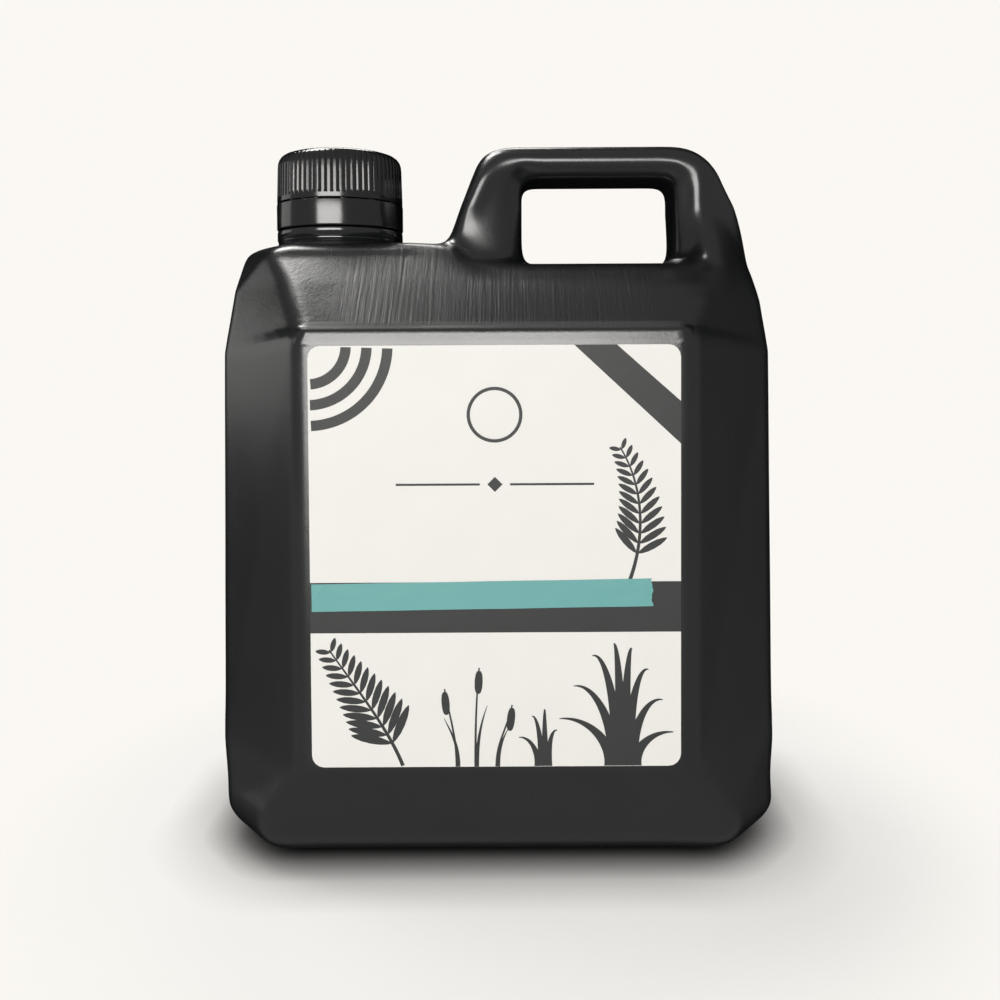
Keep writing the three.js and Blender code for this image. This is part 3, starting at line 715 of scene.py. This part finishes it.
# %% Label film and ink
def make_film(name, light, dark, low_rough, high_rough, fibre=900):
    material, tree, shader = new_material(name, IOR=1.46)
    cloud = add_node(tree, "ShaderNodeTexNoise", {"Vector": object_pattern(tree, (90, 90, 90))},
                     Scale=1, Detail=3).outputs[0]
    tooth = add_node(tree, "ShaderNodeTexNoise", {"Vector": object_pattern(tree, (fibre,) * 3)},
                     Scale=1, Detail=2).outputs[0]
    tint = add_node(tree, "ShaderNodeMix", {"Factor": cloud}, data_type="RGBA")
    tint.inputs["A"].default_value = (*light, 1)
    tint.inputs["B"].default_value = (*dark, 1)
    tree.links.new(tint.outputs["Result"], shader.inputs["Base Color"])
    rough = add_node(tree, "ShaderNodeMapRange", {"Value": tooth}, To_Min=low_rough, To_Max=high_rough)
    tree.links.new(rough.outputs[0], shader.inputs["Roughness"])
    height = math_node(tree, "ADD", math_node(tree, "MULTIPLY", cloud, 0.00008),
                       math_node(tree, "MULTIPLY", tooth, 0.000004))
    bump = add_node(tree, "ShaderNodeBump", {"Height": height}, Strength=1, Distance=1)
    tree.links.new(bump.outputs[0], shader.inputs["Normal"])
    return material


label_film = make_film("label_film", (0.85, 0.84, 0.81), (0.81, 0.80, 0.77), 0.42, 0.52)
ink = make_film("charcoal_ink", (0.030, 0.032, 0.032), (0.038, 0.041, 0.041), 0.40, 0.50)
strip_film = make_film("strip_film", (0.135, 0.395, 0.385), (0.160, 0.430, 0.420), 0.34, 0.46, 500)
label_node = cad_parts["front_label"]
label_node.data.materials.clear()
label_node.data.materials.append(label_film)
label_low, label_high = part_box("front_label")
label_size = label_high - label_low
print("label in mm:", round(label_size.x / mm, 1), "x", round(label_size.z / mm, 1))

# %% Shapes of ink
label_face = label_low.y / mm
label_left, label_right = label_low.x / mm, label_high.x / mm
label_bottom, label_top = label_low.z / mm, label_high.z / mm
ink_layers = {"count": 0}


def raise_ink(shape, faces):
    """Give flat faces in the label's plane a thickness, a trace more for each new shape."""
    ink_layers["count"] += 1
    thickness = 0.030 + 0.0004 * ink_layers["count"]
    made = bmesh.ops.extrude_face_region(shape, geom=faces, use_keep_orig=True)
    moved = [item for item in made["geom"] if isinstance(item, bmesh.types.BMVert)]
    bmesh.ops.translate(shape, verts=moved, vec=(0, -thickness * mm, 0))


def leaf(shape, base, tip, width, blunt=1.0, steps=20):
    """A leaf from base to tip, in mm on the label: a circle that is drawn to a point at both ends."""
    ring = bmesh.ops.create_circle(shape, cap_ends=True, segments=steps, radius=1)["verts"]
    base, tip = Vector(base), Vector(tip)
    along = (tip - base) / 2
    across = Vector((-along.y, along.x)).normalized() * width / 2
    middle = (base + tip) / 2
    for vertex in ring:
        pinch = (1 - abs(vertex.co.x) ** 2.2) ** blunt
        side = math.copysign(pinch, vertex.co.y) if abs(vertex.co.y) > 1e-6 else 0
        at = middle + along * vertex.co.x + across * side
        vertex.co = Vector((at.x, label_face, at.y)) * mm
    raise_ink(shape, [ring[0].link_faces[0]])


def stem(shape, points, start_width, end_width, steps=16):
    """A stroke along a curve through four control points, which narrows from one end to the other."""
    grid = bmesh.ops.create_grid(shape, x_segments=steps, y_segments=1, size=0.5)["verts"]
    p0, p1, p2, p3 = (Vector(point) for point in points)
    for vertex in grid:
        share = vertex.co.x + 0.5
        rest = 1 - share
        at = p0 * rest ** 3 + p1 * 3 * share * rest ** 2 + p2 * 3 * share ** 2 * rest + p3 * share ** 3
        way = (p1 - p0) * rest ** 2 + (p2 - p1) * 2 * share * rest + (p3 - p2) * share ** 2
        normal = Vector((-way.y, way.x)).normalized()
        at += normal * vertex.co.y * (start_width * rest + end_width * share)
        vertex.co = Vector((at.x, label_face, at.y)) * mm
    raise_ink(shape, list({face for vertex in grid for face in vertex.link_faces}))


def flat_shape(shape, corners):
    """A plain polygon on the label, from its corners in mm."""
    face = shape.faces.new([shape.verts.new(Vector((x, label_face, z)) * mm) for x, z in corners])
    raise_ink(shape, [face])


def ring_arc(shape, centre, inner, outer, start, end, steps=24):
    """Part of a ring: one edge, spun about the centre in the label's plane."""
    a = shape.verts.new(Vector((centre[0] + inner, label_face, centre[1])) * mm)
    b = shape.verts.new(Vector((centre[0] + outer, label_face, centre[1])) * mm)
    pivot = Vector((centre[0], label_face, centre[1])) * mm
    bmesh.ops.rotate(shape, verts=[a, b], cent=pivot, matrix=Matrix.Rotation(-math.radians(start), 3, "Y"))
    edge = shape.edges.new((a, b))
    bmesh.ops.spin(shape, geom=[a, b, edge], cent=pivot, axis=(0, -1, 0),
                   angle=math.radians(end - start), steps=steps)
    verts, waiting = {a}, [a]
    while waiting:
        for link in waiting.pop().link_edges:
            for vertex in link.verts:
                if vertex not in verts:
                    verts.add(vertex)
                    waiting.append(vertex)
    raise_ink(shape, list({face for vertex in verts for face in vertex.link_faces}))


# %% Plant motifs
def curve_at(points, share):
    """The place and the direction at a share of the way along a curve with four control points."""
    p0, p1, p2, p3 = (Vector(point) for point in points)
    rest = 1 - share
    at = p0 * rest ** 3 + p1 * 3 * share * rest ** 2 + p2 * 3 * share ** 2 * rest + p3 * share ** 3
    way = (p1 - p0) * rest ** 2 + (p2 - p1) * 2 * share * rest + (p3 - p2) * share ** 2
    return at, way.normalized()


def fern(shape, points, pairs, longest, width):
    """A frond: a curved stem with pairs of slim leaflets that shorten towards its tip."""
    stem(shape, points, 0.8, 0.3, 24)
    for pair in range(pairs):
        share = 0.2 + 0.78 * pair / (pairs - 1)
        at, way = curve_at(points, share)
        side = Vector((-way.y, way.x))
        length = longest * (1 - 0.7 * share)
        for turn in (-1, 1):
            tip = at + (way * 0.62 + side * turn * 0.78) * length
            leaf(shape, at + side * turn * 0.15, tip, width * (1 - 0.45 * share), 0.8, 14)


def reed(shape, foot, top, lean):
    """A reed: a thin stalk with a slim rounded head near its top, and one blade beside it."""
    foot, top = Vector(foot), Vector(top)
    rise = top.y - foot.y
    stem(shape, [foot, foot + Vector((0, rise * 0.4)), top - Vector((lean, 6)), top], 0.5, 0.3, 12)
    leaf(shape, top - Vector((lean * 0.4, 5.6)), top - Vector((0, 0.6)), 1.7, 0.36, 22)
    bend = math.copysign(2.6, lean)
    blade = ((0.3, 0), (0.5, rise * 0.3), (bend * 0.5, rise * 0.45), (bend, rise * 0.62))
    stem(shape, [foot + Vector(way) for way in blade], 0.9, 0.1, 12)


def clump(shape, foot, blades, width):
    """A clump of grass: blades from one foot that bend outward, each given by its tip."""
    foot = Vector(foot)
    for step, tip in enumerate(blades):
        tip = Vector(tip)
        start = foot + Vector((0.7 * (step - (len(blades) - 1) / 2), 0))
        rise = tip.y - foot.y
        bend = tip - Vector(((tip.x - foot.x) * 0.45, -rise * 0.05))
        stem(shape, [start, start + Vector((0, rise * 0.5)), bend, tip], width, 0.15, 20)


ink_shape = bmesh.new()
band_low, band_high = 52.6, 63.4
flat_shape(ink_shape, [(label_left, band_low), (label_right, band_low),
                       (label_right, band_high), (label_left, band_high)])
ribbon_width = 9.0
ribbon_left = label_right - 22.5
ribbon_foot = label_top - 21.0
flat_shape(ink_shape, [(ribbon_left, label_top), (label_right, ribbon_foot),
                       (label_right, ribbon_foot + ribbon_width), (ribbon_left + ribbon_width, label_top)])
for ring in range(3):
    inner = 7.0 + 4.4 * ring
    ring_arc(ink_shape, (label_left, label_top), inner, inner + 2.2, -86 if ring == 0 else -88, -2)
fern(ink_shape, [(28.5, band_high + 0.2), (32, 73), (31.5, 84), (26.5, 92)], 12, 8.4, 1.7)
fern(ink_shape, [(-20, label_bottom + 0.3), (-23, 32), (-30, 41), (-35.5, 49)], 12, 10.5, 2.0)
for foot_x, top, lean in ((-8.5, (-11.0, 40.5), -1.0), (-4.5, (-3.6, 45), 0.6), (0.0, (3.4, 37), 1.4)):
    reed(ink_shape, (foot_x, label_bottom + 0.05), top, lean)
tall_grass = ((13.5, 34), (16.5, 41), (20.5, 47.5), (25.0, 50),
              (29.0, 49), (32.5, 44.5), (35.5, 38), (37.8, 31))
short_grass = ((4.8, 30), (7.6, 34.5), (10.4, 36), (13.0, 31.5))
clump(ink_shape, (27.0, label_bottom + 0.1), tall_grass, 3.1)
clump(ink_shape, (10.0, label_bottom + 0.1), short_grass, 1.7)
print("shapes of ink:", ink_layers["count"])

# %% A plain ornament where a heading could be
rule_height = 84.0
for left, right in ((-21, -3.2), (3.2, 21)):
    flat_shape(ink_shape, [(left, rule_height), (right, rule_height),
                           (right, rule_height + 0.45), (left, rule_height + 0.45)])
flat_shape(ink_shape, [(-1.6, rule_height + 0.22), (0, rule_height - 1.38), (1.6, rule_height + 0.22),
                       (0, rule_height + 1.82)])
ring_arc(ink_shape, (0, 99.0), 5.2, 5.9, 0, 359.9, 64)
bmesh.ops.recalc_face_normals(ink_shape, faces=ink_shape.faces)
label_print = piece_from("label_print", ink_shape, "jerrycan", ink, 30)

# %% [markdown]
# ## The teal sticker
#
# The strip was stuck on by hand over the dark band. It runs a little uphill, its right end is roughly
# torn, and it doesn't lie quite flat, which shows as soft changes in its gloss. It starts as a fine grid.
# The end points move to the torn line, low noise and two short folds lift the film by a few hundredths of
# a millimetre, and solidify gives it its thickness.

# %% Sticker
strip_node_low, strip_node_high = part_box("scent_strip")
strip_length = 72.4
strip_height = 5.9
strip_centre = (-2.9, 60.6)
strip_tilt = math.radians(0.7)


def torn_edge(height):
    """How far the right end steps in or out at a height from -1 to 1."""
    return 0.16 * math.sin(height * 5.2 + 0.6) + 0.08 * math.sin(height * 13.0)


def fold(u, v, start, end):
    """A short sharp fold between two points of the strip, 1 on its line and 0 a little beside it."""
    start, way = Vector(start), Vector(end) - Vector(start)
    from_start = Vector((u, v)) - start
    share = min(1.0, max(0.0, from_start.dot(way) / way.length_squared))
    miss = from_start - way * share
    beside = math.hypot(miss.x * strip_length / strip_height, miss.y) * strip_height / 2
    return max(0.0, 1 - beside / 0.45)


def make_strip():
    shape = bmesh.new()
    grid = bmesh.ops.create_grid(shape, x_segments=240, y_segments=22, size=1)["verts"]
    front = strip_node_low.y / mm
    for vertex in grid:
        u, v = vertex.co.x, vertex.co.y
        x = u * strip_length / 2
        if u > 0.9:
            x += torn_edge(v) * (u - 0.9) / 0.1
        z = v * strip_height / 2 * (1 + 0.006 * math.sin(u * 9))
        lift = 0.035 * noise.noise(Vector((u * 7.5, v * 1.4, 0.3)))
        lift += 0.012 * noise.noise(Vector((u * 30, v * 4, 5)))
        lift += 0.11 * fold(u, v, (0.945, 0.55), (0.975, -0.25))
        lift += 0.07 * fold(u, v, (-0.995, -0.2), (-0.93, 0.95))
        turned_x = x * math.cos(strip_tilt) - z * math.sin(strip_tilt) + strip_centre[0]
        turned_z = x * math.sin(strip_tilt) + z * math.cos(strip_tilt) + strip_centre[1]
        vertex.co = Vector((turned_x, front + 0.13 - lift, turned_z)) * mm
    bmesh.ops.recalc_face_normals(shape, faces=shape.faces)
    if shape.faces[:][0].normal.y > 0:
        bmesh.ops.reverse_faces(shape, faces=shape.faces)
    bmesh.ops.solidify(shape, geom=list(shape.faces), thickness=0.08 * mm)
    return shape


teal_strip = piece_from("teal_strip", make_strip(), "jerrycan", strip_film, 50)
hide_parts("scent_strip")

# %% [markdown]
# ## Inside: the wad and the soap
#
# The foam wad and the soap show only when the cap is off. Both forms are simple and already right in the
# frame, so they keep their shapes and only get a finish: fine closed cells for the foam, and a slightly
# cloudy amber for the soap.

# %% Foam and soap
def make_foam():
    material, tree, shader = new_material("liner_foam", Roughness=0.85)
    cells = add_node(tree, "ShaderNodeTexVoronoi", {"Vector": object_pattern(tree, (2400,) * 3)}, Scale=1)
    tone = add_node(tree, "ShaderNodeMix", {"Factor": cells.outputs["Distance"]}, data_type="RGBA")
    tone.inputs["A"].default_value = (0.70, 0.70, 0.67, 1)
    tone.inputs["B"].default_value = (0.82, 0.82, 0.79, 1)
    tree.links.new(tone.outputs["Result"], shader.inputs["Base Color"])
    bump = add_node(tree, "ShaderNodeBump", {"Height": cells.outputs["Distance"]},
                    Strength=0.4, Distance=0.0001)
    tree.links.new(bump.outputs[0], shader.inputs["Normal"])
    return material


def make_soap():
    material, tree, shader = new_material("soap", Roughness=0.08, IOR=1.36)
    cloud = add_node(tree, "ShaderNodeTexNoise", {"Vector": object_pattern(tree, (60,) * 3)},
                     Scale=1, Detail=3).outputs[0]
    tone = add_node(tree, "ShaderNodeMix", {"Factor": cloud}, data_type="RGBA")
    tone.inputs["A"].default_value = (0.62, 0.50, 0.24, 1)
    tone.inputs["B"].default_value = (0.72, 0.60, 0.32, 1)
    tree.links.new(tone.outputs["Result"], shader.inputs["Base Color"])
    return material


for node_name, finish in (("cap_liner", make_foam()), ("liquid_soap", make_soap())):
    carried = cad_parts[node_name]
    carried.data.materials.clear()
    carried.data.materials.append(finish)
print("kept CAD nodes: cap_liner, liquid_soap, front_label")

# %% [markdown]
# ## Floor, backdrop and light
#
# The picture has one warm white everywhere, with a soft shadow to the right and a dark line where the
# base meets the floor. The floor is a pale disc that glows a little by itself, so that the lamps' shadow
# stays pale. Ambient occlusion darkens it close to the base, and it fades out with distance. The world
# shows the same warm white to the camera alone, and is a dim room for everything else.
#
# The reflections tell where the light came from. A wide window in front on the left, level with the
# bottle, makes the streak on the cap, the bright lip over the label and the edge of the handle. A lamp
# high up on the left, a little behind, lights the left of the slope. One behind catches the edge of the
# platform, and a pale wall on the left lifts the facet there.

# %% Floor
warm_white = (0.965, 0.939, 0.896)
floor_tone = (0.33, 0.324, 0.314)
board_glow = 2.02


def make_floor():
    shape = bmesh.new()
    bmesh.ops.create_circle(shape, cap_ends=True, segments=96, radius=2.0)
    mesh = bpy.data.meshes.new("floor")
    shape.to_mesh(mesh)
    shape.free()
    floor = bpy.data.objects.new("floor", mesh)
    bpy.context.scene.collection.objects.link(floor)
    material, tree, shader = new_material("floor_white", Roughness=1.0, Specular_IOR_Level=0.0)
    # Painted shade: ambient occlusion darkens the floor's colour and its glow close to the base. The glow is
    # painted light too, since the floor is no lamp.
    near_sky = add_node(tree, "ShaderNodeAmbientOcclusion", Distance=0.009).outputs["AO"]
    wide_sky = add_node(tree, "ShaderNodeAmbientOcclusion", Distance=0.02).outputs["AO"]
    open_sky = math_node(tree, "MULTIPLY", near_sky, wide_sky)
    floor_colour_with_painted_shade = add_node(tree, "ShaderNodeMix", {"Factor": open_sky}, data_type="RGBA")
    floor_colour_with_painted_shade.inputs["A"].default_value = (0, 0, 0, 1)
    floor_colour_with_painted_shade.inputs["B"].default_value = (*floor_tone, 1)
    tree.links.new(floor_colour_with_painted_shade.outputs["Result"], shader.inputs["Base Color"])
    tree.links.new(floor_colour_with_painted_shade.outputs["Result"], shader.inputs["Emission Color"])
    shader.inputs["Emission Strength"].default_value = board_glow
    place = add_node(tree, "ShaderNodeTexCoord").outputs["Object"]
    far = add_node(tree, "ShaderNodeVectorMath", {0: place}, operation="LENGTH")
    fade = add_node(tree, "ShaderNodeMapRange", {"Value": far.outputs["Value"]},
                    interpolation_type="SMOOTHSTEP", From_Min=0.074, From_Max=0.13)
    path = add_node(tree, "ShaderNodeLightPath")
    gone = math_node(tree, "MULTIPLY", fade.outputs[0], path.outputs["Is Camera Ray"])
    clear = add_node(tree, "ShaderNodeBsdfTransparent")
    mix = add_node(tree, "ShaderNodeMixShader", {0: gone, 1: shader.outputs[0], 2: clear.outputs[0]})
    tree.links.new(mix.outputs[0], tree.nodes["Material Output"].inputs["Surface"])
    mesh.materials.append(material)
    floor.visible_glossy = False
    return floor


floor = make_floor()

# %% World and lamps
lamp_colour = (1.0, 0.985, 0.96)


def make_world():
    """A dim room that is darker behind the object. The camera alone sees the pale backdrop."""
    world = bpy.data.worlds.new("studio")
    bpy.context.scene.world = world
    world.use_nodes = True
    tree = world.node_tree
    tree.nodes.clear()
    way = add_node(tree, "ShaderNodeTexCoord").outputs["Generated"]
    depth = add_node(tree, "ShaderNodeSeparateXYZ", {"Vector": way}).outputs[1]
    level = add_node(tree, "ShaderNodeMapRange", {"Value": depth}, interpolation_type="SMOOTHSTEP",
                     From_Min=-0.1, From_Max=0.5, To_Min=room_level, To_Max=back_level)
    room = add_node(tree, "ShaderNodeBackground", {"Strength": level.outputs[0]}, Color=(*lamp_colour, 1))
    seen = add_node(tree, "ShaderNodeBackground", Color=(*warm_white, 1), Strength=1.0)
    path = add_node(tree, "ShaderNodeLightPath")
    mix = add_node(tree, "ShaderNodeMixShader", {0: path.outputs["Is Camera Ray"], 1: room.outputs[0],
                                                  2: seen.outputs[0]})
    out = add_node(tree, "ShaderNodeOutputWorld")
    tree.links.new(mix.outputs[0], out.inputs["Surface"])


def make_lamp(name, turn, rise, distance, wide, high, brightness):
    """A soft box seen from the object at a turn from the front and a rise, in degrees like its size."""
    middle = Vector((0, 0, 0.09))
    turn, rise = math.radians(turn), math.radians(rise)
    way = Vector((math.sin(turn) * math.cos(rise), -math.cos(turn) * math.cos(rise), math.sin(rise)))
    data = bpy.data.lights.new(name, "AREA")
    data.shape = "RECTANGLE"
    data.size = 2 * distance * math.tan(math.radians(wide / 2))
    data.size_y = 2 * distance * math.tan(math.radians(high / 2))
    data.energy = brightness * math.pi * data.size * data.size_y
    data.color = lamp_colour
    lamp = bpy.data.objects.new(name, data)
    lamp.location = middle + way * distance
    lamp.rotation_euler = (-way).to_track_quat("-Z", "Y").to_euler()
    bpy.context.scene.collection.objects.link(lamp)
    print("lamp", name, round(data.energy, 1), "W")


room_level = 0.22
back_level = 0.0
make_world()
make_lamp("window", -11, 5, 3.0, 42, 22, 7.4)
make_lamp("overhead", -125, 64, 2.2, 20, 20, 12.0)
make_lamp("back", -170, 48, 2.2, 20, 12, 7.5)
make_lamp("left_wall", -106, 8, 2.0, 30, 22, 0.8)
